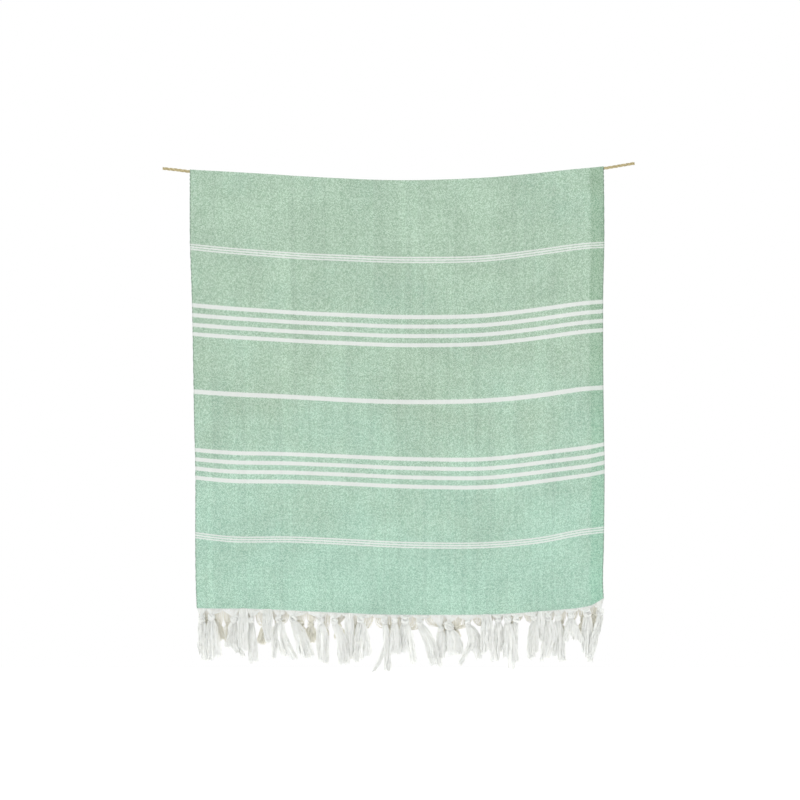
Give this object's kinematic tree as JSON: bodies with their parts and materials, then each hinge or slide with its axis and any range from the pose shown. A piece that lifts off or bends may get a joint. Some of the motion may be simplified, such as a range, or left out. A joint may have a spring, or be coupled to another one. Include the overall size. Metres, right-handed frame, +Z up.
{
  "type": "hammam towel on a rope",
  "caption": "Flat-woven hammam towel with light stripes, folded over a thin twisted rope, with knotted tassel fringe at both ends.",
  "frame": {"origin": "centre of the rope's left cut end", "axes": "+X along the rope to the right, +Z up, the towel's front faces -Y"},
  "size_m": [1.03, 0.0581, 1.114],
  "materials": {
    "jute_rope": "twisted natural jute, matt, with loose fibres",
    "sage_cloth": "flat-woven cotton in heathered sage green, with off-white woven stripes",
    "fringe_yarn": "soft off-white cotton yarn, matt"
  },
  "bodies": {
    "root": {"rope": "jute_rope", "towel_cloth": "sage_cloth", "fringe_front": "fringe_yarn", "fringe_back": "fringe_yarn"}
  },
  "joints": []
}
